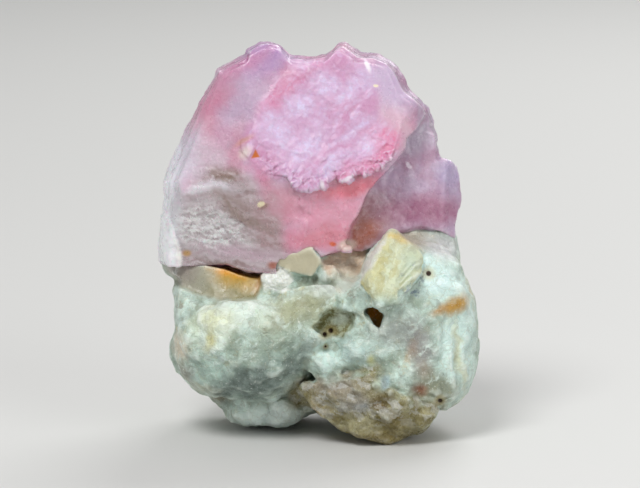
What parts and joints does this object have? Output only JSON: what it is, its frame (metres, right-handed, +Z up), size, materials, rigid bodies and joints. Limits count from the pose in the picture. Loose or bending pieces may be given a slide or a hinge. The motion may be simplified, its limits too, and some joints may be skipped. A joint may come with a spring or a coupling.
{
  "type": "rose quartz crystal",
  "caption": "Pink and lilac rose quartz crystal, broken along a ragged ledge, standing on a rough matrix of pale green feldspar and smoky quartz.",
  "frame": {"origin": "under the middle of the stone's bounding box, on the surface that it stands on", "axes": "+Z up from the matrix to the crystal's tip, -Y out of the crystal's broken face, +X to the right of that face"},
  "size_m": [0.064, 0.0462, 0.0774],
  "materials": {
    "rose_quartz": "glassy to pearly broken faces, milky and slightly see-through",
    "matrix": "rough, granular, dull, with glassy quartz at the foot"
  },
  "bodies": {
    "root": {"rose_quartz_crystal": "rose_quartz", "feldspar_matrix": "matrix"}
  },
  "joints": []
}
